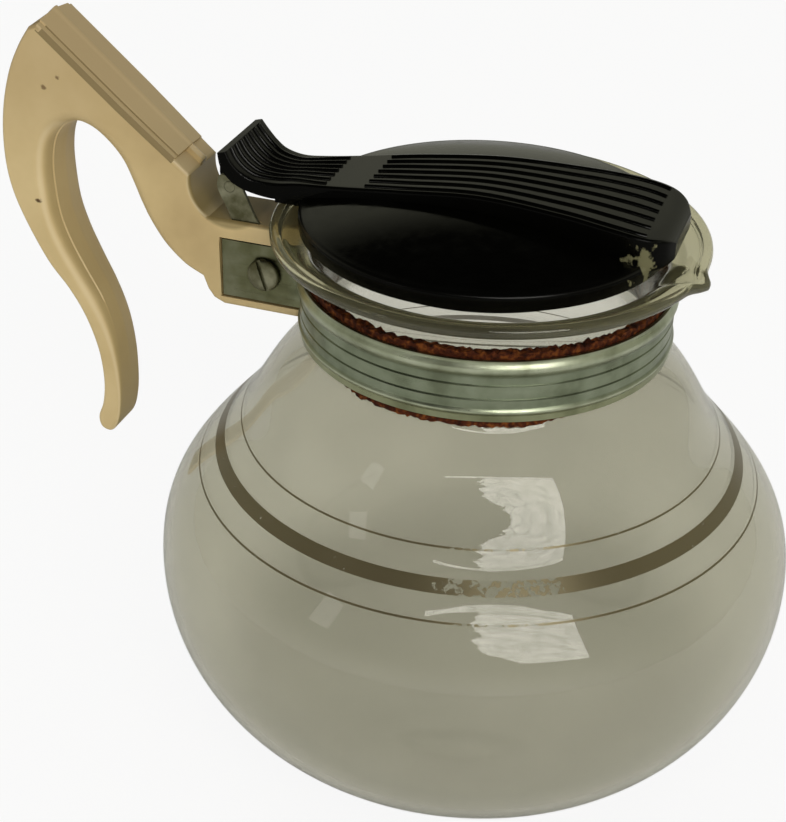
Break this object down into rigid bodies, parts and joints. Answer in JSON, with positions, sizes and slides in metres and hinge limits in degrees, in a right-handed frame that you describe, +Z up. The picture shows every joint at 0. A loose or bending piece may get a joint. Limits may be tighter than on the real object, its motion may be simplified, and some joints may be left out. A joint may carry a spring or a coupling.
{
  "type": "vacuum coffee maker lower bowl",
  "caption": "Round glass lower bowl of a vacuum coffee maker, with a cork-lined metal neck collar, an open hook handle and a ribbed black lid hinged at the handle.",
  "frame": {"origin": "middle of the base on the bowl's axis, in the plane that it stands on", "axes": "+Z up along the bowl's axis; the handle points to -X and the lid's nose and the pouring nub to +X; the lid's hinge pin lies along Y"},
  "size_m": [0.21, 0.165, 0.182],
  "materials": {
    "glass": "clear blown glass with a used haze, worn metallic stripes round the shoulder",
    "cork": "dark stained cork, matt",
    "band_metal": "satin, rolled beads and grooves",
    "cream_phenolic": "aged cream moulding, satin, with brown patina in the hollows",
    "steel": "dull plated steel",
    "black_phenolic": "polished black moulding"
  },
  "bodies": {
    "decanter": {"glass_bowl": "glass", "cork_liner": "cork", "neck_band": "band_metal", "handle": "cream_phenolic", "clamp_screw": "steel", "clamp_nut": "steel", "hinge_strap": "steel", "hinge_pin": "steel"},
    "lid": {"lid": "black_phenolic"}
  },
  "joints": [
    {"name": "lid_hinge", "type": "hinge", "parent": "decanter", "child": "lid", "pos_m": [-0.0653, 0, 0.146], "axis": [0, -1, 0], "range_deg": [0, 62]}
  ]
}
